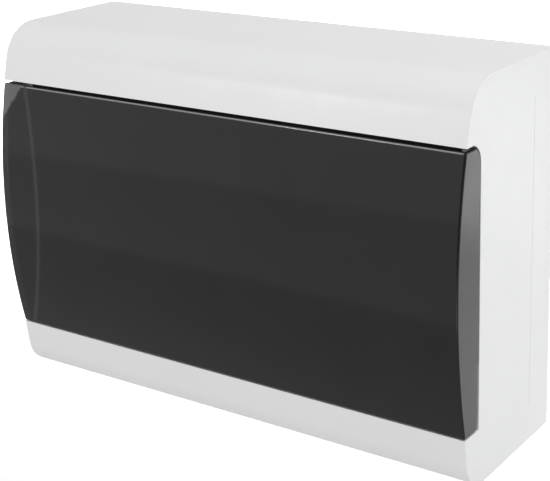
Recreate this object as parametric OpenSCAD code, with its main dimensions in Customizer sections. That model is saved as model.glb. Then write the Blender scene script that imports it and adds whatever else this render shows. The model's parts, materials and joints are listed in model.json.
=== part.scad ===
// Surface-mounted load center for one row of DIN-rail devices, with a smoked flap door.
// X runs along the row, +Y points into the wall and +Z points up. The origin is the centre of the
// wall face, so the whole case stands in front of it, at negative Y.

/* [Case] */
// Outer width of the case
body_w = 284; // [276:1:320]
// Outer height of the case
body_h = 200; // [196:1:230]
// Depth from the wall to the crown of the bowed front
body_d = 98.5; // [97:0.5:106]
// Radius of the bowed front, which the door and the upper strip share
front_r = 320; // [300:5:400]
// Angle of the strip below the door from upright
strip_tilt = 7; // [4:1:12]
// Radius of the long top front corner
top_r = 22; // [14:1:22]
// Radius of the long bottom front corner
bottom_r = 18; // [12:1:20]
// Wall thickness of the case
wall = 2.5; // [2.3:0.1:3]

/* [Door] */
// Height of the upper edge of the door opening above the centre
opening_top = 70.7; // [69:0.1:71]
// Depth of the lower edge of the door opening below the centre
opening_bottom = 70.4; // [69:0.1:71]
// Gap above the door
top_gap = 1.8; // [1.2:0.1:1.8]
// Gap below the door
bottom_gap = 0.5; // [0.4:0.1:1]
// Thickness of the door
door_t = 2.2; // [2:0.1:2.4]
// Radius of the rounded upper and lower edges of the door
door_edge_r = 1; // [0.6:0.1:1.2]
// How far the hinge axis lies below the top edge of the door
hinge_drop = 7.4; // [7.2:0.1:7.4]
// Distance from the wall to the hinge axis
hinge_d = 86.5; // [86.3:0.1:86.7]

/* [Row of devices] */
// Number of module widths in the row
row_modules = 12; // [11:1:12]
// Pitch of one module
module_w = 18; // [17.5:0.1:18]
// Distance from the wall to the front of the rail lips
rail_d = 27; // [26:0.5:27]
// Angle of a toggle from level, up when on and down when off
toggle_tilt = 28; // [20:1:30]

/* [Wall fixing] */
// Spacing of the wall fixing holes across the case
fixing_w = 240; // [230:1:240]
// Spacing of the wall fixing holes up the case
fixing_h = 150; // [140:1:152]
// Diameter of a wall fixing hole
fixing_hole = 5.5; // [5:0.1:6]

/* [Cable entry] */
// Number of rubber grommets in the underside
grommet_count = 4; // [2:1:4]
// Diameter of the hole through a grommet
grommet_hole = 13; // [8:0.5:14]

/* [Hidden] */
eps = 0.01;
half_w = body_w / 2;
half_h = body_h / 2;
inner_w = body_w - 2 * wall;

// Front profile
arc_y = front_r - body_d;
opening_angle = asin(opening_bottom / front_r);
side_line_d = 22;
side_line_half = 80;
side_line = [0.15, 0.3];
front_steps = 36;
corner_steps = 12;

// Dished mask behind the door
mask_front_d = 74;
mask_dish = 5;
mask_r = (pow(opening_top, 2) + pow(mask_dish, 2)) / (2 * mask_dish);
side_edge_d = 77;
window_w = row_modules * module_w + 1;
window_h = 46;

// Door
door_top = opening_top - top_gap;
door_bottom = -opening_bottom + bottom_gap;
door_clear = 0.3;
hinge_z = door_top - hinge_drop;
pin_r = 2;
pin_clear = 0.05;
ear_r = 3.3;
ear_t = 4;
ear_x = half_w - door_t - 0.5 - ear_t / 2;
ear_arm_top = -0.4;
grip_z = -36;
grip_relief = 1.2;

// Rear base
base_x = half_w - wall - 0.8;
base_z = half_h - wall - 1.9;
base_rim_d = 20;
base_rim_t = 2;
post_x = 127;
post_z = 50;
post_r = 4.5;
post_d = 73;
cover_screw_r = 1.6;
rear_window_x = 58;
rear_window_z = -66;
rear_window = [60, 26];
pad_r = 8;
pad_d = 5;

// Rail
rail_len = 232;
rail_t = 1;
rail_depth = 7.5;
rail_lip = 17.5;
rail_web = 12.5;
rail_back_d = rail_d - rail_depth;
bracket_x = 111;
bracket_w = 8;
bracket_foot_z = 24;

// Devices, measured forward from the rail lips
device_half_h = 41;
shoulder_f = 44;
nose_f = 50;
nose_half_h = 22.4;
nose_edge = 1;
foot_chamfer = 2;
rail_clear = 0.3;
hook_back = 3.5;
hook_grip = 2;
hook_taper = [30, 36];
side_gap = 0.3;
pivot_f = 41;
hub_r = 8;
hub_clear = 0.3;
lever_reach = 18;
terminal_z = 33;
terminal_f = 24;
entry = [9, 9, 12];
screw_well_r = 3.3;
clip_f = 3.6;
clip_w = 10;
clamp = [8.4, 8.4, 9];
clamp_hole = 6;
strap = [7.2, 5, 17];
breaker_count = 6;
row_left = -row_modules * module_w / 2;
main_switch_x = row_left + module_w;
rcd_x = row_left + 3 * module_w;
first_breaker_x = row_left + 4.5 * module_w;
main_toggle_w = 24;
rcd_toggle_w = 12;
rcd_toggle_x = 7;
breaker_toggle_w = 8;
test_button = [6, 5, 6];
test_button_x = -8;
test_button_z = 10;

// Comb busbar
comb_z = -device_half_h - 3;
comb_h = 12;
comb_t = 2;
comb_pin = [3, 1.2, 8];
comb_x = [for (i = [-1:breaker_count - 1]) first_breaker_x + i * module_w];

// Terminal bars
bar_len = 84;
bar_x = 58;
bar_z = 79;
bar_size = [7, 9];
bar_d = 29.5;
bar_ways = 10;
bar_pitch = 8;
bar_hole_r = 2.4;
holder_t = 4;

// Cable entry plate
plate_w = 183;
plate_d = 25;
plate_clear = 0.5;
plate_flange = 3;
plate_z = -half_h + 1.5;
plate_t = 2.5;
flange_t = 1.4;
grommet_pitch = 44;
grommet_neck_r = 10;
grommet_flange_r = 12;
grommet_flange_t = 1.4;

// Wires, as routes of round numbers
wire_d = 4.4;
wire_steps = 4;
live_link = [[-81, -51, 34], [-81, -51, 44], [-76, -51, 52], [-63, -51, 54], [-50, -51, 52],
    [-45, -51, 44], [-45, -51, 34]];
neutral_link = [[-99, -51, 34], [-99, -51, 44], [-95, -47, 54], [-81, -44, 60], [-67, -44, 56],
    [-63, -48, 46], [-63, -51, 40], [-63, -51, 34]];
neutral_lead = [[-63, -51, -34], [-63, -51, -46], [-67, -51, -58], [-80, -51, -64],
    [-100, -51, -63], [-112, -51, -54], [-114, -51, -36], [-114, -51, 0], [-114, -50, 36],
    [-111, -44, 56], [-99, -36, 61], [-94, -33, 66], [-94, -33, 71], [-94, -33, 78]];

// ---- helpers ----

// Points of an arc about c from angle a to angle b, in n steps.
function arc(c, r, a, b, n) = [for (i = [0:n]) let (t = a + (b - a) * i / n) c + r * [cos(t), sin(t)]];

// Draws a profile whose first axis is Y and second is Z, w wide along X about the centre.
module along_x(w) {
    rotate([90, 0, 90]) linear_extrude(w, center = true) children();
}

// A box from its lowest to its highest corner.
module block(low, high) {
    translate(low) cube(high - low);
}

// A round bar along Y, from distance a to distance b in front of the wall.
module rod_y(x, z, r, a, b) {
    translate([x, -a, z]) rotate([90, 0, 0]) cylinder(h = b - a, r = r, $fn = 48);
}

// A pan-head screw along -Y with a cross recess: the underside of its head is at distance d.
module screw(x, z, d, head_r, head_h, shank_r, shank_len) {
    slot_w = head_r * 0.3;
    difference() {
        union() {
            rod_y(x, z, head_r, d, d + head_h);
            rod_y(x, z, shank_r, d - shank_len, d + eps);
        }
        for (turn = [0, 90])
            translate([x, -d - head_h, z]) rotate([0, turn, 0])
                cube([head_r * 1.3, head_h * 1.1, slot_w], center = true);
    }
}

// ---- case profiles, in Y and Z ----

// Angle on the bowed front at which a corner of radius r, tangent to it and to height z, takes over.
function turn_at(z, r) = asin((z - sign(z) * r) / (front_r - r));

// Where corners of radius r, tangent to the bowed front and to height z, have their centre.
function corner_centre(z, r) = [arc_y - (front_r - r) * cos(turn_at(z, r)), z - sign(z) * r];

// Points of the corner below z = high and down the bowed front to the angle low_angle.
function bowed_top(high, r, low_angle, inset = 0) =
    let (a = turn_at(high, r))
    concat(arc(corner_centre(high, r), r - inset, 90, 180 - a, corner_steps),
        arc([arc_y, 0], front_r - inset, 180 - a, 180 - low_angle, front_steps));

// Points down the bowed front, with corners of radius r below z = high and above z = low.
function bowed_front(high, low, r) =
    let (b = turn_at(low, r))
    concat(bowed_top(high, r, b), arc(corner_centre(low, r), r, 180 - b, 270, corner_steps));

// Points down the lower strip, which leaves the bow at the door opening and is steeper from there.
function lower_strip(inset = 0) =
    let (start = [arc_y - front_r * cos(opening_angle), -opening_bottom],
        centre_z = bottom_r - half_h,
        reach = (bottom_r - (centre_z - start.y) * sin(strip_tilt)) / cos(strip_tilt),
        bend = (opening_angle + strip_tilt) / 2)
    concat(inset > 0 ? [start + inset * [cos(bend), sin(bend)]] : [],
        arc([start.x + reach, centre_z], bottom_r - inset, 180 + strip_tilt, 270, corner_steps));

// The closed outline of the case, moved inwards by inset.
module case_outline(inset = 0) {
    back = inset > 0 ? 1 : 0;
    polygon(concat([[back, half_h - inset]], bowed_top(half_h, top_r, -opening_angle, inset),
        lower_strip(inset), [[back, -half_h + inset]]));
}

// The space in front of the dished mask; grow makes it larger all round.
module door_recess(grow = 0) {
    centre = [-mask_front_d - mask_r, 0];
    r = mask_r + grow;
    high = asin((opening_top + grow) / r);
    low = asin((opening_bottom + grow) / r);
    polygon(concat(arc(centre, r, -low, high, front_steps),
        [[-2 * body_d, opening_top + grow], [-2 * body_d, -opening_bottom - grow]]));
}

// ---- case ----

module front_cover() {
    color("#E9EAEA") difference() {
        union() {
            along_x(inner_w + eps) difference() {
                case_outline();
                door_recess();
                difference() {
                    case_outline(wall);
                    door_recess(wall);
                }
            }
            for (side = [-1, 1]) {
                translate([side * (half_w - wall / 2), 0, 0]) along_x(wall) difference() {
                    case_outline();
                    side_notch();
                }
                translate([side * ear_x, 0, 0]) along_x(ear_t) hinge_ear_outline();
            }
        }
        cube([window_w, 3 * body_d, window_h], center = true);
        for (side = [-1, 1]) {
            translate([side * ear_x, -hinge_d, hinge_z]) rotate([0, 90, 0])
                cylinder(h = 2 * ear_t, r = pin_r + pin_clear, center = true, $fn = 48);
            for (up = [-1, 1]) {
                rod_y(side * post_x, up * post_z, cover_screw_r + 0.5, post_d - 2, body_d);
                rod_y(side * post_x, up * post_z, 4.6, cover_seat_d(), body_d);
            }
        }
        for (side = [-1, 1])
            translate([side * half_w, -side_line_d, 0])
                cube([2 * side_line[0], side_line[1], 2 * side_line_half], center = true);
        block([-(plate_w / 2 + plate_clear), -plate_d - 2 * plate_clear, -half_h - 1],
            [plate_w / 2 + plate_clear, 1, -half_h + wall + 0.1]);
    }
}

// Where the side walls are cut away for the door, with a corner rounded about the hinge.
module side_notch() {
    r = hinge_d - side_edge_d;
    polygon(concat([[-2 * body_d, -opening_bottom], [-side_edge_d, -opening_bottom]],
        arc([-hinge_d, hinge_z], r, 0, asin((opening_top - hinge_z) / r), corner_steps),
        [[-2 * body_d, opening_top]]));
}

function cover_seat_d() = mask_front_d + 1.8;

module hinge_ear_outline() {
    translate([-hinge_d, hinge_z]) {
        circle(r = ear_r, $fn = 48);
        translate([0, -ear_r]) square([hinge_d - side_edge_d - 0.3, ear_r + ear_arm_top]);
    }
}

module cover_screws() {
    color("silver") for (side = [-1, 1], up = [-1, 1])
        screw(side * post_x, up * post_z, cover_seat_d(), 4, 2.4, cover_screw_r, 22);
}

module rear_base() {
    color("#E4E5E5") difference() {
        union() {
            difference() {
                block([-base_x, -base_rim_d, -base_z], [base_x, 0, base_z]);
                block([-base_x + base_rim_t, -base_rim_d - 1, -base_z + base_rim_t],
                    [base_x - base_rim_t, -wall, base_z - base_rim_t]);
            }
            for (side = [-1, 1], up = [-1, 1]) {
                rod_y(side * post_x, up * post_z, post_r, wall - eps, post_d);
                rod_y(side * fixing_w / 2, up * fixing_h / 2, pad_r, wall - eps, pad_d);
                block([side * post_x - 1, -base_rim_d - 20, up * post_z - 9],
                    [side * post_x + 1, -wall + eps, up * post_z + 9]);
            }
        }
        for (side = [-1, 1], up = [-1, 1]) {
            rod_y(side * post_x, up * post_z, cover_screw_r + 0.05, post_d - 24, body_d);
            rod_y(side * fixing_w / 2, up * fixing_h / 2, fixing_hole / 2, -1, body_d);
            rod_y(side * bracket_x, up * bracket_foot_z, 1.35, -1, wall + 1);
        }
        for (side = [-1, 1])
            translate([side * rear_window_x, 0, rear_window_z])
                cube([rear_window.x, 3 * wall, rear_window.y], center = true);
        block([-plate_w / 2 + 4, -body_d, -half_h], [plate_w / 2 - 4, 1, -base_z + base_rim_t + eps]);
    }
}

module cable_entry_plate() {
    x = plate_w / 2;
    color("#E4E5E5") difference() {
        union() {
            block([-x, -plate_d - plate_clear, plate_z], [x, -plate_clear, plate_z + plate_t]);
            block([-x - plate_flange, -plate_d - plate_clear - plate_flange, plate_z + plate_t - flange_t],
                [x + plate_flange, -plate_clear, plate_z + plate_t]);
        }
        for (gx = grommet_places())
            translate([gx, grommet_y(), plate_z - 1])
                cylinder(h = plate_t + 2, r = grommet_neck_r + 0.1, $fn = 64);
    }
}

function grommet_places() = [for (i = [0:grommet_count - 1]) (i - (grommet_count - 1) / 2) * grommet_pitch];
function grommet_y() = -plate_clear - plate_d / 2;

module cable_grommets() {
    low = plate_z - grommet_flange_t;
    high = plate_z + plate_t + grommet_flange_t;
    color("#2B2B2C") for (gx = grommet_places())
        translate([gx, grommet_y(), 0]) rotate_extrude($fn = 64)
            polygon([[grommet_hole / 2, low], [grommet_flange_r - 1, low], [grommet_flange_r, plate_z],
                [grommet_neck_r, plate_z], [grommet_neck_r, plate_z + plate_t],
                [grommet_flange_r, plate_z + plate_t], [grommet_flange_r - 1, high],
                [grommet_hole / 2, high]]);
}

module blanking_strip() {
    x0 = first_breaker_x + (breaker_count - 0.5) * module_w + 0.2;
    x1 = window_w / 2 - 0.2;
    z = window_h / 2 - 0.2;
    back_d = mask_front_d - wall - 0.1;
    color("#EDEDED") difference() {
        union() {
            block([x0, -mask_front_d - 1.8, -z], [x1, -back_d + eps, z]);
            block([x0, -back_d, -z - 3], [x1 + 2.5, -back_d + 1.5, z + 3]);
        }
        block([(x0 + x1) / 2 - 0.3, -mask_front_d - 3, -z - 1],
            [(x0 + x1) / 2 + 0.3, -mask_front_d - 1.3, z + 1]);
    }
}

// ---- door ----

module door() {
    front = bowed_front(door_top, door_bottom, door_edge_r);
    wall_back = side_edge_d + door_clear;
    swing_r = hinge_d - wall_back;
    color("#303032") {
        along_x(body_w) polygon(concat(front, door_inside()));
        for (side = [-1, 1]) {
            // Side wall: its upper back corner is rounded about the hinge, and a finger grip is cut below.
            translate([side * (half_w - door_t / 2), 0, 0]) along_x(door_t) polygon(concat(
                front,
                [[-wall_back - grip_relief, door_bottom], [-wall_back - grip_relief, grip_z - 1],
                    [-wall_back, grip_z]],
                arc([-hinge_d, hinge_z], swing_r, 0, asin(hinge_drop / swing_r), corner_steps)));
            translate([side * (ear_x + 1.2), -hinge_d, hinge_z]) rotate([0, 90, 0])
                cylinder(h = ear_t + 1, r = pin_r, center = true, $fn = 48);
        }
    }
}

// Points up the inner face of the door.
function door_inside() =
    let (r = front_r - door_t)
    arc([arc_y, 0], r, 180 - asin(door_bottom / r), 180 - asin(door_top / r), front_steps);

// ---- rail ----

module din_rail() {
    slot = [15, 6.2];
    slot_pitch = 25;
    color("#C9CCCF") difference() {
        along_x(rail_len) difference() {
            union() {
                translate([-rail_d, -rail_lip]) square([rail_t, 2 * rail_lip]);
                translate([-rail_d, -rail_web]) square([rail_depth, 2 * rail_web]);
            }
            translate([-rail_d - 1, -rail_web + rail_t])
                square([rail_depth - rail_t + 1, 2 * (rail_web - rail_t)]);
        }
        for (i = [-3:3])
            translate([i * slot_pitch, -rail_back_d, 0]) cube([slot.x, 4, slot.y], center = true);
        for (side = [-1, 1]) rod_y(side * bracket_x, 0, 2.2, 0, body_d);
    }
}

module rail_bracket(side) {
    x0 = side * bracket_x - bracket_w / 2;
    x1 = x0 + bracket_w;
    color("#DADCDD") difference() {
        union() {
            block([x0, -rail_back_d, -rail_web], [x1, -wall, rail_web]);
            block([x0, -wall - 3, -bracket_foot_z - 4], [x1, -wall, bracket_foot_z + 4]);
        }
        rod_y(side * bracket_x, 0, 1.65, 8, body_d);
        for (up = [-1, 1]) rod_y(side * bracket_x, up * bracket_foot_z, 1.6, 0, wall + 4);
    }
}

module rail_screws() {
    color("silver") for (side = [-1, 1])
        screw(side * bracket_x, 0, rail_back_d + rail_t, 3.8, 2.4, 1.6, 11);
}

module bracket_screws() {
    color("silver") for (side = [-1, 1], up = [-1, 1])
        screw(side * bracket_x, up * bracket_foot_z, wall + 3, 2.8, 1.8, 1.3, 5);
}

// ---- devices ----

// Moves children from a device's own axes, at x, to the rail.
module at_rail(x) {
    translate([x, -rail_d, 0]) children();
}

// Outline of a device body in Y and Z, with the fixed hook that grips the upper lip.
module device_outline() {
    hook_front = rail_t + rail_clear;
    lip_z = rail_lip + rail_clear;
    grip_z = rail_lip - hook_grip;
    polygon([[0, -device_half_h + foot_chamfer], [0, lip_z], [hook_front, lip_z],
        [hook_front, grip_z], [hook_back, grip_z], [hook_back, hook_taper[0]], [0, hook_taper[1]],
        [0, device_half_h], [-shoulder_f, device_half_h], [-shoulder_f, nose_half_h],
        [-nose_f + nose_edge, nose_half_h], [-nose_f, nose_half_h - nose_edge],
        [-nose_f, -nose_half_h + nose_edge], [-nose_f + nose_edge, -nose_half_h],
        [-shoulder_f, -nose_half_h], [-shoulder_f, -device_half_h], [-foot_chamfer, -device_half_h]]);
}

// A device body of n modules with terminals at poles and a toggle slot.
module device_body(n, poles, toggle_x, toggle_w) {
    w = n * module_w - side_gap;
    difference() {
        union() {
            along_x(w) device_outline();
            clip_strap();
        }
        translate([toggle_x, 0, 0]) {
            translate([0, -pivot_f, 0]) rotate([0, 90, 0])
                cylinder(h = toggle_w + 2 * hub_clear, r = hub_r + hub_clear, center = true, $fn = 64);
            translate([0, -pivot_f - hub_r, 0])
                cube([toggle_w + 2 * hub_clear, 2 * hub_r, 2 * (hub_r + hub_clear)], center = true);
        }
        for (x = poles, up = [-1, 1]) {
            translate([x, -shoulder_f, up * terminal_z]) rotate([90, 0, 0])
                cylinder(h = 16, r = screw_well_r, center = true, $fn = 40);
            translate([x, -terminal_f, up * (device_half_h - entry.z / 2 + eps)]) cube(entry, center = true);
        }
    }
}

// The strap behind a device that its rail clip slides in.
module clip_strap() {
    low = -device_half_h + 4;
    difference() {
        block([-strap.x, -eps, low], [strap.x, strap.y, low + strap.z]);
        block([-clip_w / 2 - 0.2, 0, low - 1], [clip_w / 2 + 0.2, clip_f + 0.2, low + strap.z + 1]);
    }
}

// A toggle at rest in its upper position, w wide.
module toggle(w) {
    translate([0, -pivot_f, 0]) rotate([-toggle_tilt, 0, 0]) {
        along_x(w) circle(r = hub_r, $fn = 64);
        along_x(w - 1) polygon([[-4, -3.4], [-4, 3.4], [-hub_r - 1, 2.6], [-lever_reach + 1.2, 1.8],
            [-lever_reach, 0.8], [-lever_reach, -0.8], [-lever_reach + 1.2, -2.2], [-hub_r - 1, -2.6]]);
    }
}

// The sprung slide that grips the lower lip of the rail.
module din_clip() {
    x = clip_w / 2;
    block([-x, 0.1, -device_half_h - 5], [x, clip_f, -rail_lip - 0.4]);
    block([-x, rail_t + 0.3, -rail_lip - 1], [x, clip_f, -rail_lip + 2]);
}

module breaker_body(i) {
    color("#D8DADB") at_rail(comb_x[i]) device_body(1, [0], 0, breaker_toggle_w);
}

module breaker_toggle(i) {
    color("#26272A") at_rail(comb_x[i]) toggle(breaker_toggle_w);
}

module breaker_din_clip(i) {
    color("#3A3C3E") at_rail(comb_x[i]) din_clip();
}

module main_switch_body() {
    color("#D8DADB") at_rail(main_switch_x)
        device_body(2, [-module_w / 2, module_w / 2], 0, main_toggle_w);
}

module main_switch_toggle() {
    color("#B3231F") at_rail(main_switch_x) toggle(main_toggle_w);
}

module main_switch_din_clip() {
    color("#3A3C3E") at_rail(main_switch_x) din_clip();
}

module rcd_body() {
    gap = 0.3;
    color("#D8DADB") at_rail(rcd_x) difference() {
        device_body(2, [-module_w / 2, module_w / 2], rcd_toggle_x, rcd_toggle_w);
        translate([test_button_x, -nose_f, test_button_z])
            cube([test_button.x + 2 * gap, 2 * (test_button.y + 1), test_button.z + 2 * gap], center = true);
    }
}

module rcd_toggle() {
    color("#26272A") at_rail(rcd_x) translate([rcd_toggle_x, 0, 0]) toggle(rcd_toggle_w);
}

module rcd_test_button() {
    proud = 2.6;
    color("#D9A21B") at_rail(rcd_x)
        translate([test_button_x, -nose_f - proud + test_button.y / 2, test_button_z])
            cube(test_button, center = true);
}

module rcd_din_clip() {
    color("#3A3C3E") at_rail(rcd_x) din_clip();
}

// Centres of all poles along the row.
function pole_places() = concat(
    [for (x = [main_switch_x, rcd_x], side = [-0.5, 0.5]) x + side * module_w],
    [for (i = [1:breaker_count]) comb_x[i]]);

module terminal_clamps() {
    color("#C9A24A") for (x = pole_places(), up = [-1, 1])
        translate([x, -rail_d - terminal_f, up * (device_half_h - entry.z + clamp.z / 2 + 0.3)])
            difference() {
                cube(clamp, center = true);
                cube([clamp_hole, clamp_hole, 2 * clamp.z], center = true);
            }
}

module terminal_screws() {
    color("silver") for (x = pole_places(), up = [-1, 1])
        screw(x, up * terminal_z, rail_d + shoulder_f - 7, 2.9, 2, 1.5, 0.9);
}

// ---- comb busbar ----

module comb_busbar() {
    y = -rail_d - terminal_f;
    x0 = comb_x[0] - 5;
    x1 = comb_x[breaker_count] + 5;
    color("#B87333") {
        block([x0, y - comb_t / 2, comb_z - comb_h + 2], [x1, y + comb_t / 2, comb_z - 2]);
        for (x = comb_x)
            block([x - comb_pin.x / 2, y - comb_pin.y / 2, comb_z - 3],
                [x + comb_pin.x / 2, y + comb_pin.y / 2, comb_z + comb_pin.z]);
    }
}

module busbar_cover() {
    y = -rail_d - terminal_f;
    x0 = comb_x[0] - 7;
    x1 = comb_x[breaker_count] + 7;
    half_t = comb_t / 2 + 0.1;
    skin = 1.5;
    color("#9EA2A5") difference() {
        block([x0, y - half_t - skin, comb_z - comb_h], [x1, y + half_t + skin, comb_z]);
        block([x0 + 1.5, y - half_t, comb_z - comb_h + 1.8], [x1 - 1.5, y + half_t, comb_z + 1]);
    }
}

// ---- terminal bars ----

module terminal_bar(x) {
    color("#C9A24A") difference() {
        block([x - bar_len / 2, -bar_d - bar_size.x, bar_z - bar_size.y / 2],
            [x + bar_len / 2, -bar_d, bar_z + bar_size.y / 2]);
        for (way = [0:bar_ways - 1]) {
            wx = x + (way - (bar_ways - 1) / 2) * bar_pitch;
            translate([wx, -bar_d - bar_size.x / 2, bar_z])
                cylinder(h = 2 * bar_size.y, r = bar_hole_r, center = true, $fn = 32);
            rod_y(wx, bar_z, 1.8, bar_d + bar_size.x / 2, body_d);
        }
    }
}

module terminal_bar_screws(x) {
    color("silver") for (way = [0:bar_ways - 1])
        screw(x + (way - (bar_ways - 1) / 2) * bar_pitch, bar_z, bar_d + bar_size.x, 2.8, 1.8, 1.7, 1.1);
}

module bar_holder(x, shade) {
    half = bar_len / 2 + holder_t + 0.2;
    z0 = bar_z - bar_size.y / 2 - 2;
    z1 = bar_z + bar_size.y / 2 + 2;
    color(shade) {
        block([x - half, -bar_d, z0], [x + half, -bar_d + holder_t, z1]);
        for (side = [-1, 1]) {
            edge = x + side * (half - holder_t / 2);
            block([edge - holder_t / 2, -bar_d - bar_size.x, z0], [edge + holder_t / 2, -bar_d + eps, z1]);
            block([edge - holder_t / 2, -bar_d + holder_t - eps, z0], [edge + holder_t / 2, -wall, z1]);
        }
    }
}

// ---- wires ----

// A smooth curve through the points of a route.
function between(p, i, t) =
    let (a = p[max(i - 1, 0)], b = p[i], c = p[i + 1], d = p[min(i + 2, len(p) - 1)])
    0.5 * (2 * b + (c - a) * t + (2 * a - 5 * b + 4 * c - d) * pow(t, 2)
        + (3 * b - a - 3 * c + d) * pow(t, 3));
function smooth_route(p) = concat(
    [for (i = [0:len(p) - 2], s = [0:wire_steps - 1]) between(p, i, s / wire_steps)], [p[len(p) - 1]]);
function unit(v) = v / norm(v);

// An insulated wire along a route that never runs along Y.
module wire(route, shade) {
    sides = 8;
    path = smooth_route(route);
    last = len(path) - 1;
    rings = [for (i = [0:last])
        let (t = unit(path[min(i + 1, last)] - path[max(i - 1, 0)]),
            u = unit(cross(t, [0, 1, 0])), v = cross(u, t))
        [for (k = [0:sides - 1]) let (a = 360 * k / sides) path[i] + wire_d / 2 * (cos(a) * u + sin(a) * v)]];
    points = [for (ring = rings, p = ring) p];
    tube = [for (i = [0:last - 1], k = [0:sides - 1])
        [i * sides + k, i * sides + (k + 1) % sides, (i + 1) * sides + (k + 1) % sides, (i + 1) * sides + k]];
    ends = [[for (k = [sides - 1:-1:0]) k], [for (k = [0:sides - 1]) last * sides + k]];
    color(shade) polyhedron(points, concat(tube, ends), convexity = 6);
}

// ---- nodes ----

rear_base();
front_cover();
cover_screws();
door();
din_rail();
rail_bracket(-1);  // rail_bracket_left
rail_bracket(1);  // rail_bracket_right
rail_screws();
bracket_screws();
terminal_bar(-bar_x);  // neutral_bar
bar_holder(-bar_x, "#2C6DB4");  // neutral_bar_holder
terminal_bar_screws(-bar_x);  // neutral_bar_screws
terminal_bar(bar_x);  // earth_bar
bar_holder(bar_x, "#2E8B4A");  // earth_bar_holder
terminal_bar_screws(bar_x);  // earth_bar_screws
cable_entry_plate();
cable_grommets();
blanking_strip();
comb_busbar();
busbar_cover();
terminal_clamps();
terminal_screws();
wire(live_link, "#6B4A2E");  // live_link_wire
wire(neutral_link, "#2C6DB4");  // neutral_link_wire
wire(neutral_lead, "#2C6DB4");  // neutral_lead_wire
main_switch_body();
main_switch_toggle();
main_switch_din_clip();
rcd_body();
rcd_toggle();
rcd_test_button();
rcd_din_clip();
for (i = [1:breaker_count]) {
    breaker_body(i);
    breaker_toggle(i);
    breaker_din_clip(i);
}
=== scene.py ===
"""Looks of the residential load center: a white case with a smoked flap door over a row of devices.

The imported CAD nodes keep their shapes. Each gets rounded edges and a procedural material, and the
printed labels are pieces of their own. All lengths are in metres, in the frame of the CAD model.
"""

import json
import math

import bmesh
import bpy
from mathutils import Matrix, Vector


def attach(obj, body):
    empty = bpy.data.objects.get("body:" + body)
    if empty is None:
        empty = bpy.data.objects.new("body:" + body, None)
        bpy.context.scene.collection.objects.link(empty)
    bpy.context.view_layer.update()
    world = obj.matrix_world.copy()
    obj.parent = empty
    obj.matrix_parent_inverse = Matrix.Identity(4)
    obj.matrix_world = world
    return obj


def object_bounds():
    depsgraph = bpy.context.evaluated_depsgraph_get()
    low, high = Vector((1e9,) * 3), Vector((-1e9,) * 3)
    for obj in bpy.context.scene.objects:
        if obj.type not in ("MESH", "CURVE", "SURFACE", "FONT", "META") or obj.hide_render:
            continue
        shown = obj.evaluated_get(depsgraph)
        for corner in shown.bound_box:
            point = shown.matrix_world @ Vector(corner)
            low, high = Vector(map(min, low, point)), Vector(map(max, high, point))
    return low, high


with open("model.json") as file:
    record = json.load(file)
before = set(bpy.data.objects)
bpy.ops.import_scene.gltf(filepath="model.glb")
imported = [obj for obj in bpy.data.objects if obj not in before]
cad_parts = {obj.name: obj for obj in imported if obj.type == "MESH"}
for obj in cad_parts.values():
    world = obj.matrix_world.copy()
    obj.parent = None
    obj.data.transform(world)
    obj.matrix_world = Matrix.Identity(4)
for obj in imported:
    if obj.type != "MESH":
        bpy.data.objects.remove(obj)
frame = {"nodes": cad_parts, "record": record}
CAD_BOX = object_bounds()
MM = 0.001
LOW, HIGH = CAD_BOX
CENTRE = (LOW + HIGH) / 2
DOOR_TOP = 68.9 * MM


# ---- camera ----

def aim_camera():
    """The camera stands to the right of the case and above it, and looks down at its front."""
    place = (0.4133, -0.6037, 0.2356)
    yaw = math.radians(33.3)
    pitch = math.radians(16.19)
    roll = math.radians(-1.13)
    back = Vector((math.sin(yaw) * math.cos(pitch), -math.cos(yaw) * math.cos(pitch), math.sin(pitch)))
    right = Vector((math.cos(yaw), math.sin(yaw), 0))
    up = back.cross(right)
    turned_right = math.cos(roll) * right + math.sin(roll) * up
    turned_up = math.cos(roll) * up - math.sin(roll) * right
    data = bpy.data.cameras.new("camera")
    data.sensor_width = 36
    data.lens = 90.3
    data.shift_x = -0.12
    data.shift_y = -0.15
    camera = bpy.data.objects.new("camera", data)
    turn = Matrix((turned_right, turned_up, back)).transposed().to_4x4()
    camera.matrix_world = Matrix.Translation(place) @ turn
    bpy.context.scene.collection.objects.link(camera)
    bpy.context.scene.camera = camera


# ---- node helpers ----

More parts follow.
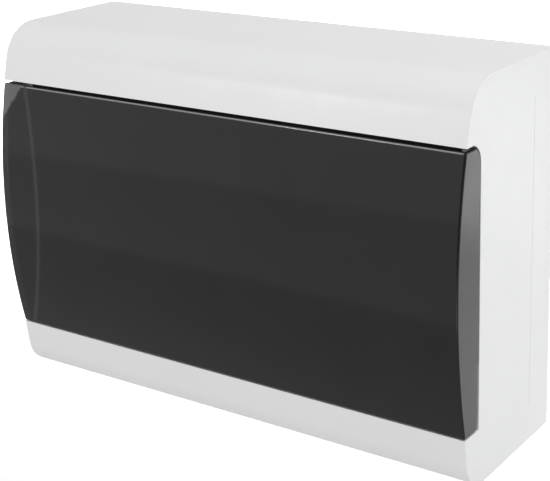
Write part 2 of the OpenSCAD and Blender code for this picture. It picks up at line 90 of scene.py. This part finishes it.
class Shader:
    """A new material with a Principled shader and short calls for the nodes that feed it."""

    def __init__(self, name):
        self.material = bpy.data.materials.new(name)
        self.material.use_nodes = True
        self.tree = self.material.node_tree
        self.surface = self.tree.nodes["Principled BSDF"]
        self.place = self.tree.nodes.new("ShaderNodeTexCoord").outputs["Object"]

    def set(self, **values):
        """Sets sockets of the shader, named with _ for a space."""
        for name, value in values.items():
            self.surface.inputs[name.replace("_", " ")].default_value = value

    def link(self, output, input_name):
        """Feeds a socket of the shader from a node."""
        self.tree.links.new(output, self.surface.inputs[input_name])

    def stretched(self, scale):
        """The object's own coordinates, scaled by a different amount along each axis."""
        node = self.tree.nodes.new("ShaderNodeMapping")
        node.inputs["Scale"].default_value = scale
        self.tree.links.new(self.place, node.inputs["Vector"])
        return node.outputs["Vector"]

    def noise(self, size, detail=2.0, place=None):
        """Noise whose blobs are about size metres across, from 0 to 1."""
        node = self.tree.nodes.new("ShaderNodeTexNoise")
        node.inputs["Scale"].default_value = 1 / size
        node.inputs["Detail"].default_value = detail
        self.tree.links.new(place or self.place, node.inputs["Vector"])
        return node.outputs["Fac"]

    def spread(self, value, low, high, start=0.3, end=0.7):
        """The value from start to end, mapped to low to high."""
        node = self.tree.nodes.new("ShaderNodeMapRange")
        node.inputs["From Min"].default_value = start
        node.inputs["From Max"].default_value = end
        node.inputs["To Min"].default_value = low
        node.inputs["To Max"].default_value = high
        self.tree.links.new(value, node.inputs["Value"])
        return node.outputs["Result"]

    def axis(self, name):
        """The object's own coordinate along one axis, in metres."""
        node = self.tree.nodes.new("ShaderNodeSeparateXYZ")
        self.tree.links.new(self.place, node.inputs["Vector"])
        return node.outputs[name]

    def math(self, operation, first, second=0.0):
        """One step of arithmetic on numbers or outputs."""
        node = self.tree.nodes.new("ShaderNodeMath")
        node.operation = operation
        for socket, value in zip(node.inputs, (first, second)):
            if isinstance(value, float):
                socket.default_value = value
            else:
                self.tree.links.new(value, socket)
        return node.outputs[0]

    def band(self, value, centre, width):
        """1 where the value is at the centre, 0 from half the width away."""
        away = self.math("ABSOLUTE", self.math("SUBTRACT", value, centre))
        return self.spread(away, 1, 0, 0, width / 2)

    def blend(self, factor, first, second):
        """A colour between first and second, either of which can be a colour or an output."""
        node = self.tree.nodes.new("ShaderNodeMix")
        node.data_type = "RGBA"
        for socket, value in (("A", first), ("B", second)):
            if isinstance(value, tuple):
                node.inputs[socket].default_value = (*value, 1)
            else:
                self.tree.links.new(value, node.inputs[socket])
        self.tree.links.new(factor, node.inputs["Factor"])
        return node.outputs["Result"]

    def bump(self, height, depth, strength=1.0, under=None):
        """A bump of that depth in metres, on top of the normal in under."""
        node = self.tree.nodes.new("ShaderNodeBump")
        node.inputs["Strength"].default_value = strength
        node.inputs["Distance"].default_value = depth
        self.tree.links.new(height, node.inputs["Height"])
        if under:
            self.tree.links.new(under, node.inputs["Normal"])
        return node.outputs["Normal"]


def shade(colour, factor):
    """The colour made lighter or darker, up to full white."""
    return tuple(min(1.0, c * factor) for c in colour)


# ---- materials ----

def moulded(name, colour, roughness, grain=0.5 * MM, depth=0.01 * MM, variation=0.03, specular=0.5):
    """Moulded plastic: fine spark-eroded grain, slow flow marks in its colour and its gloss."""
    s = Shader(name)
    flow = s.spread(s.noise(40 * MM, 3), 0, 1)
    s.link(s.blend(flow, shade(colour, 1 - variation), shade(colour, 1 + variation)), "Base Color")
    s.link(s.spread(s.noise(12 * MM, 4), roughness - 0.04, roughness + 0.04), "Roughness")
    waves = s.bump(s.noise(25 * MM, 1), depth * 4, 0.5)
    s.link(s.bump(s.noise(grain, 3), depth, 0.6, waves), "Normal")
    s.set(Specular_IOR_Level=specular)
    return s.material


def smoked_colour(s, x, z):
    """Near black, with a painted highlight along the top edge and painted highlights on the left.

    A faint painted highlight line bows in from the left edge, and a pale painted highlight patch lies
    in the upper corner there.
    """
    haze = s.spread(s.noise(30 * MM, 3), 0, 1)
    body = s.blend(haze, (0.003, 0.003, 0.0035), (0.005, 0.005, 0.0055))

    # Painted highlight: a pale band on the door's rounded top edge, for the light that edge catches.
    on_front = s.spread(x, 1, 0, HIGH.x - 2 * MM, HIGH.x - 1 * MM)
    below_top = s.spread(z, 1, 0, DOOR_TOP - 0.25 * MM, DOOR_TOP - 0.1 * MM)
    painted_rim_highlight = s.math("MULTIPLY", s.band(z, DOOR_TOP - 0.5 * MM, 1.1 * MM), below_top)
    with_rim_highlight = s.blend(s.math("MULTIPLY", painted_rim_highlight, on_front), body, (0.36, 0.36, 0.36))

    # Painted highlight: a faint pale line that curves down beside the door's left edge.
    line_middle, line_half_h, line_bow = 10 * MM, 70 * MM, 13.7 * MM
    rise = s.math("POWER", s.math("DIVIDE", s.math("SUBTRACT", z, line_middle), line_half_h), 2.0)
    bow = s.math("MULTIPLY", s.math("SUBTRACT", 1.0, rise), line_bow)
    painted_side_highlight = s.band(s.math("SUBTRACT", x, bow), LOW.x + 11.6 * MM, 4 * MM)
    with_side_highlight = s.blend(painted_side_highlight, with_rim_highlight, (0.036, 0.036, 0.037))

    # Painted highlight: a pale ragged patch in the upper left corner of the door.
    corner_highlight_low, corner_highlight_slope = DOOR_TOP - 17.2 * MM, 0.72
    ragged = s.math("MULTIPLY", s.noise(5 * MM, 3), 5 * MM)
    reach = s.math("MULTIPLY", s.math("SUBTRACT", z, corner_highlight_low), corner_highlight_slope)
    inside = s.math("SUBTRACT", s.math("ADD", reach, ragged), s.math("SUBTRACT", x, LOW.x))
    off_side = s.spread(x, 0, 1, LOW.x + 0.1 * MM, LOW.x + 0.6 * MM)
    painted_corner_highlight = s.math("MULTIPLY", s.spread(inside, 0, 1, 0, 1.5 * MM), off_side)
    return s.blend(painted_corner_highlight, with_side_highlight, (0.125, 0.125, 0.125))


def smoked():
    """Polished smoked polycarbonate, all but opaque.

    Its right-hand edge is black above the middle, a painted dark reflection, and its side wall there
    and its top are duller.
    """
    s = Shader("smoked_polycarbonate")
    x = s.axis("X")
    z = s.axis("Z")
    s.link(smoked_colour(s, x, z), "Base Color")
    # Painted dark reflection: a thin band at the right-hand edge above the middle turns metallic over
    # the near-black colour, so it reads black.
    upper = s.spread(z, 0, 1, -5 * MM, 25 * MM)
    s.link(s.math("MULTIPLY", s.band(x, HIGH.x - 0.65 * MM, 1.1 * MM), upper), "Metallic")
    dull_side = s.spread(x, 0, 0.12, HIGH.x - 0.3 * MM, HIGH.x - 0.1 * MM)
    dull_top = s.spread(z, 0, 0.5, DOOR_TOP - 0.2 * MM, DOOR_TOP - 0.05 * MM)
    polish = s.math("ADD", s.spread(s.noise(9 * MM, 5), 0.07, 0.11), dull_side)
    s.link(s.math("ADD", polish, dull_top), "Roughness")
    s.link(s.bump(s.noise(45 * MM, 1), 0.02 * MM, 0.4), "Normal")
    s.set(IOR=1.5, Specular_IOR_Level=0.5, Alpha=0.93)
    return s.material


def metal(name, colour, roughness, brush=(1, 1, 1), grain=0.4 * MM, depth=0.006 * MM):
    """Bare or plated metal, brushed along the axis that brush stretches."""
    s = Shader(name)
    lines = s.noise(grain, 4, s.stretched(brush))
    tarnish = s.noise(14 * MM, 4)
    s.link(s.blend(s.spread(tarnish, 0, 1), shade(colour, 0.86), shade(colour, 1.06)), "Base Color")
    s.link(s.spread(lines, roughness - 0.08, roughness + 0.10), "Roughness")
    s.link(s.bump(lines, depth, 0.5), "Normal")
    s.set(Metallic=1.0)
    return s.material


def rubber():
    """Matt black rubber."""
    s = Shader("grommet_rubber")
    wear = s.spread(s.noise(6 * MM, 4), 0, 1)
    s.link(s.blend(wear, (0.022, 0.022, 0.022), (0.036, 0.035, 0.034)), "Base Color")
    s.link(s.spread(s.noise(3 * MM, 4), 0.62, 0.8), "Roughness")
    s.link(s.bump(s.noise(0.35 * MM, 3), 0.03 * MM, 0.7), "Normal")
    return s.material


MATERIALS = {
    "shell": moulded("shell_abs", (0.815, 0.82, 0.82), 0.35, grain=0.45 * MM, depth=0.008 * MM,
                     variation=0.008),
    "smoked_door": smoked(),
    "screw_steel": metal("bright_zinc", (0.78, 0.78, 0.76), 0.24),
    "rail_steel": metal("galvanised_steel", (0.60, 0.61, 0.63), 0.36, brush=(0.02, 1, 1)),
    "inner_plastic": moulded("inner_plastic", (0.70, 0.71, 0.72), 0.5),
    "bar_brass": metal("machined_brass", (0.76, 0.56, 0.27), 0.3, brush=(0.05, 1, 1)),
    "neutral_blue": moulded("neutral_blue", (0.03, 0.15, 0.48), 0.38),
    "earth_green": moulded("earth_green", (0.04, 0.33, 0.11), 0.38),
    "grommet_rubber": rubber(),
    "busbar_copper": metal("bare_copper", (0.72, 0.36, 0.22), 0.28, brush=(0.05, 1, 1)),
    "busbar_grey": moulded("busbar_grey", (0.30, 0.32, 0.34), 0.45),
    "live_brown": moulded("live_brown", (0.15, 0.065, 0.03), 0.42, grain=0.8 * MM),
    "neutral_wire_blue": moulded("neutral_wire_blue", (0.025, 0.14, 0.46), 0.42, grain=0.8 * MM),
    "device_grey": moulded("device_grey", (0.64, 0.65, 0.66), 0.5, grain=0.35 * MM, depth=0.015 * MM),
    "toggle_red": moulded("toggle_red", (0.42, 0.018, 0.014), 0.34, grain=0.4 * MM, depth=0.006 * MM),
    "toggle_black": moulded("toggle_black", (0.018, 0.018, 0.02), 0.36, grain=0.4 * MM,
                            depth=0.006 * MM, variation=0.15),
    "test_yellow": moulded("test_yellow", (0.70, 0.40, 0.02), 0.36),
    "clip_dark": moulded("clip_dark", (0.045, 0.047, 0.05), 0.5, variation=0.1),
    "ink": moulded("printing_ink", (0.03, 0.031, 0.034), 0.6, grain=0.15 * MM, depth=0.004 * MM,
                   variation=0.2, specular=0.3),
    "card": moulded("label_card", (0.80, 0.80, 0.77), 0.7, grain=0.12 * MM, depth=0.006 * MM,
                    variation=0.02, specular=0.3),
}

# Radius of the rounded edges on each kind of part; what isn't listed gets the small one.
EDGE_RADIUS = {
    "shell": 0.6 * MM, "smoked_door": 0.8 * MM, "device_grey": 0.35 * MM,
    "toggle_black": 0.5 * MM, "toggle_red": 0.5 * MM}
SMALL_EDGE = 0.15 * MM


def soften(piece, radius, clamp=True):
    """Rounds a part's sharp edges and keeps its flat faces flat.

    clamp thins the rounding on the whole part until its shortest edges can take it.
    """
    weld = piece.modifiers.new("weld", "WELD")
    weld.merge_threshold = 0.002 * MM
    flatten = piece.modifiers.new("flatten", "DECIMATE")
    flatten.decimate_type = "DISSOLVE"
    flatten.angle_limit = math.radians(0.3)
    bevel = piece.modifiers.new("edges", "BEVEL")
    bevel.width = radius
    bevel.use_clamp_overlap = clamp
    bevel.segments = 3
    bevel.limit_method = "ANGLE"
    bevel.angle_limit = math.radians(28)
    normals = piece.modifiers.new("normals", "WEIGHTED_NORMAL")
    normals.weight = 80


def dress_nodes():
    """Gives every CAD node the material of its slot and its rounded edges."""
    for entry in frame["record"]["subparts"]:
        slot = entry["material_slot"]
        piece = frame["nodes"][entry["node"]]
        piece.data.materials.clear()
        piece.data.materials.append(MATERIALS[slot])
        if "wire" not in entry["node"]:
            soften(piece, EDGE_RADIUS.get(slot, SMALL_EDGE), slot != "smoked_door")
        for face in piece.data.polygons:
            face.use_smooth = True


# ---- printed marks, labels and small raised details ----

# Six points of a digit, named by side and height, and the lines between them that draw each digit.
CORNERS = {"a": (-1, 1), "b": (1, 1), "c": (-1, 0), "d": (1, 0), "e": (-1, -1), "f": (1, -1)}
DIGITS = {
    "0": ("ab", "bf", "fe", "ea"), "1": ("bf", "cb"), "2": ("ab", "bd", "dc", "ce", "ef"),
    "3": ("ab", "bf", "fe", "cd"), "4": ("ac", "cd", "bf"), "5": ("ba", "ac", "cd", "df", "fe"),
    "6": ("ba", "ae", "ef", "fd", "dc"), "7": ("ab", "be"), "8": ("ab", "bf", "fe", "ea", "cd"),
    "9": ("dc", "ca", "ab", "bf", "fe")}

MODULE = 18 * MM
MODULES = 12
ROW_LEFT = -MODULES * MODULE / 2
NOSE_Y = -77 * MM
INK_LIFT = 0.06 * MM
MASK_MIDDLE_Y = -74 * MM
MASK_RADIUS = 502.3 * MM
WINDOW_HALF_W = 108.5 * MM
WINDOW_HALF_H = 23 * MM
BREAKER_RATINGS = ("16", "16", "20", "20", "25", "32")


def nose_y(z):
    """The flat fronts of the devices."""
    return NOSE_Y


def mask_y(z):
    """The dished mask around the device window."""
    return MASK_MIDDLE_Y - MASK_RADIUS + math.sqrt(MASK_RADIUS ** 2 - z ** 2)


def circle(x, z, radius, sides):
    """The corners of a many-sided circle around x and z."""
    turns = [math.tau * i / sides for i in range(sides)]
    return [(x + radius * math.cos(turn), z + radius * math.sin(turn)) for turn in turns]


class Relief:
    """Thin raised shapes on a surface that faces -Y; surface gives its Y at each height."""

    def __init__(self, surface, lift):
        self.mesh = bmesh.new()
        self.surface = surface
        self.lift = lift

    def slab(self, outline):
        """A slab over an outline of (x, z) points, which sinks a little into the surface."""
        sink = 0.05 * MM
        front = [self.mesh.verts.new((x, self.surface(z) - self.lift, z)) for x, z in outline]
        back = [self.mesh.verts.new((x, self.surface(z) + sink, z)) for x, z in outline]
        self.mesh.faces.new(front)
        self.mesh.faces.new(back[::-1])
        for i in range(len(outline)):
            j = (i + 1) % len(outline)
            self.mesh.faces.new((front[j], front[i], back[i], back[j]))

    def line(self, start, end, width):
        """A straight line with square ends that run on by half its width."""
        along = (Vector(end) - Vector(start)).normalized() * (width / 2)
        across = Vector((-along.y, along.x))
        a = Vector(start) - along
        b = Vector(end) + along
        self.slab([tuple(v) for v in (a - across, b - across, b + across, a + across)])

    def ring(self, x, z, radius, width, sides=24):
        """A circle of that many straight lines, centred on x and z."""
        points = circle(x, z, radius, sides)
        for i in range(sides):
            self.line(points[i - 1], points[i], width)

    def frame(self, x, half_w, half_h, width):
        """A rectangular frame around x whose opening has these half sizes."""
        out_w = half_w + width / 2
        out_h = half_h + width / 2
        corners = [(x - out_w, -out_h), (x + out_w, -out_h), (x + out_w, out_h), (x - out_w, out_h)]
        for i in range(4):
            self.line(corners[i - 1], corners[i], width)

    def number(self, digits, x, z, height):
        """Digits drawn with straight lines, centred on x and z."""
        half_w = height * 0.26
        pitch = height * 0.8
        stroke = height * 0.13
        for i, digit in enumerate(digits):
            centre = x + (i - (len(digits) - 1) / 2) * pitch
            for ends in DIGITS[digit]:
                start, end = [(centre + CORNERS[c][0] * half_w, z + CORNERS[c][1] * height / 2)
                              for c in ends]
                self.line(start, end, stroke)

    def finish(self, name, material, body="enclosure", edge=0):
        """Makes the piece, which rides on that body."""
        bmesh.ops.recalc_face_normals(self.mesh, faces=self.mesh.faces)
        data = bpy.data.meshes.new(name)
        self.mesh.to_mesh(data)
        self.mesh.free()
        data.materials.append(material)
        piece = bpy.data.objects.new(name, data)
        bpy.context.scene.collection.objects.link(piece)
        if edge:
            soften(piece, edge)
        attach(piece, body)
        return piece


def print_device(name, x, half_w, toggle_x, toggle_half_w, rating):
    """A device's printing: its rating, a contact symbol, I and O, and the frame around its toggle."""
    rating_z, rating_h = 16.5 * MM, 3.4 * MM
    rule_z = 13.2 * MM
    mark_x = toggle_x - toggle_half_w - 2.9 * MM
    on_low, on_high, off_z = 4.2 * MM, 6.6 * MM, -5.4 * MM
    contact_top, contact_low, contact_z = -11.2 * MM, -13 * MM, -13.2 * MM
    blade_x, blade_top, blade_low, lead_low = x + 1.9 * MM, -13.4 * MM, -16.8 * MM, -19.4 * MM
    thin, medium, bold = 0.25 * MM, 0.35 * MM, 0.5 * MM
    ink = Relief(nose_y, INK_LIFT)
    ink.number(rating, x, rating_z, rating_h)
    ink.line((x - half_w * 0.6, rule_z), (x + half_w * 0.6, rule_z), thin)
    ink.line((mark_x, on_low), (mark_x, on_high), bold)
    ink.ring(mark_x, off_z, 1.2 * MM, 0.45 * MM)
    ink.line((x, contact_top), (x, contact_low), medium)
    ink.line((blade_x, blade_top), (x, blade_low), medium)
    ink.line((x, blade_low), (x, lead_low), medium)
    ink.ring(x, contact_z, 0.35 * MM, 0.3 * MM, 12)
    ink.finish(name + "_printing", MATERIALS["ink"])
    slot_gap, bezel_half_h = 0.3 * MM, 8.3 * MM
    bezel = Relief(nose_y, 0.5 * MM)
    bezel.frame(toggle_x, toggle_half_w + slot_gap, bezel_half_h, 0.9 * MM)
    bezel.finish(name + "_bezel", MATERIALS["device_grey"], edge=0.2 * MM)


def print_devices():
    """The printing of the main switch, the residual-current device and the six breakers."""
    main_x = ROW_LEFT + MODULE
    rcd_x = ROW_LEFT + 3 * MODULE
    print_device("main_switch", main_x, MODULE, main_x, 12 * MM, "63")
    print_device("rcd", rcd_x, MODULE, rcd_x + 7 * MM, 6 * MM, "40")
    for i, rating in enumerate(BREAKER_RATINGS):
        x = ROW_LEFT + (4.5 + i) * MODULE
        print_device("breaker_%d" % (i + 1), x, MODULE / 2, x, 4 * MM, rating)


def label_mask():
    """The lip of the device window, the module marks above it and the numbered card below it."""
    lip = Relief(mask_y, 0.7 * MM)
    lip.frame(0, WINDOW_HALF_W, WINDOW_HALF_H, 1.6 * MM)
    lip.finish("window_lip", MATERIALS["shell"], edge=0.3 * MM)
    places = [ROW_LEFT + i * MODULE for i in range(MODULES + 1)]
    marks = Relief(mask_y, INK_LIFT)
    for x in places:
        marks.line((x, 26 * MM), (x, 28 * MM), 0.4 * MM)
    marks.finish("module_marks", MATERIALS["ink"])
    low, high, half_w = -40 * MM, -29 * MM, 110 * MM
    card_lift = 0.35 * MM
    card = Relief(mask_y, card_lift)
    card.slab([(-half_w, low), (half_w, low), (half_w, high), (-half_w, high)])
    card.finish("circuit_card", MATERIALS["card"], edge=0.12 * MM)
    margin, number_band, number_h, rule = 1 * MM, 3.2 * MM, 1.9 * MM, 0.22 * MM
    ruling = Relief(mask_y, card_lift + INK_LIFT)
    for x in places:
        ruling.line((x, low + margin), (x, high - margin), rule)
    for z in (low + margin, high - margin - number_band, high - margin):
        ruling.line((places[0], z), (places[-1], z), rule)
    for i in range(MODULES):
        number_x = places[i] + MODULE / 2
        ruling.number(str(i + 1), number_x, high - margin - number_band / 2, number_h)
    ruling.finish("circuit_card_ruling", MATERIALS["ink"])


def cushion_door():
    """Two soft bumpers on the mask, just behind the lower corners of the closed door."""
    bumper_x, bumper_z, radius = 120 * MM, -62 * MM, 3.2 * MM
    for side, name in ((-1, "door_bumper_left"), (1, "door_bumper_right")):
        bumper = Relief(mask_y, 2.2 * MM)
        bumper.slab(circle(side * bumper_x, bumper_z, radius, 32))
        bumper.finish(name, MATERIALS["grommet_rubber"], edge=0.9 * MM)


def darken_recess_gap():
    """A thin black strip along the top of the mask: painted shade, a dark sheet that darkens the gap
    above the closed door.
    """
    low, high, half_w = 62 * MM, 70.4 * MM, 133 * MM
    shade_strip = Relief(mask_y, 0.4 * MM)
    shade_strip.slab([(-half_w, low), (half_w, low), (half_w, high), (-half_w, high)])
    shade_strip.finish("recess_shade_strip", MATERIALS["grommet_rubber"], edge=0.12 * MM)


# ---- stage ----

def make_floor():
    """A wide pale floor, well below the case, which hangs as it does on a wall."""
    s = Shader("floor")
    mottle = s.spread(s.noise(0.5, 2), 0, 1)
    s.link(s.blend(mottle, (0.60, 0.60, 0.60), (0.62, 0.62, 0.62)), "Base Color")
    s.set(Roughness=0.8, Specular_IOR_Level=0.1)
    mesh = bpy.data.meshes.new("floor")
    half_w = 6.0
    front, back = -1.05, 12.0
    level = LOW.z - 0.45
    corners = [(-half_w, front, level), (half_w, front, level),
               (half_w, back, level), (-half_w, back, level)]
    mesh.from_pydata(corners, [], [(0, 1, 2, 3)])
    mesh.materials.append(s.material)
    floor = bpy.data.objects.new("floor", mesh)
    bpy.context.scene.collection.objects.link(floor)


def softbox(name, place, size, power, target=CENTRE, beam=180):
    """A square area light whose beam, of that many degrees, is aimed at the target."""
    data = bpy.data.lights.new(name, "AREA")
    data.size = size
    data.energy = power
    data.spread = math.radians(beam)
    light = bpy.data.objects.new(name, data)
    light.location = place
    light.rotation_euler = (Vector(target) - Vector(place)).to_track_quat("-Z", "Y").to_euler()
    bpy.context.scene.collection.objects.link(light)


def light_stage():
    """A white studio: each lamp is given its place, its size in metres and its power in watts.

    The two edge lamps stand behind the case on its right, where the door's side wall reflects them.
    """
    world = bpy.data.worlds.new("studio")
    world.use_nodes = True
    background = world.node_tree.nodes["Background"]
    background.inputs["Color"].default_value = (1, 1, 1, 1)
    background.inputs["Strength"].default_value = 0.70
    bpy.context.scene.world = world
    bpy.context.scene.view_settings.view_transform = "Standard"
    softbox("key_softbox", (-1.15, -1.91, 0.68), 0.25, 5.2)
    softbox("front_softbox", (0.5, -1.8, -0.4), 1.0, 3.3)
    softbox("left_softbox", (-1.54, -1.97, 0.45), 1.5, 1.0)
    softbox("right_softbox", (1.1, 0.1, 0.95), 0.7, 6.7)
    softbox("edge_softbox", (0.50, 0.57, -0.13), 0.19, 0.225)
    softbox("edge_fill", (0.50, 0.57, -0.355), 0.22, 0.107)
    softbox("background_softbox", (-1.4, 2.5, 1.8), 3.0, 135, (-1.4, 2.4, -0.55), 65)


aim_camera()
dress_nodes()
print_devices()
label_mask()
cushion_door()
darken_recess_gap()
make_floor()
light_stage()
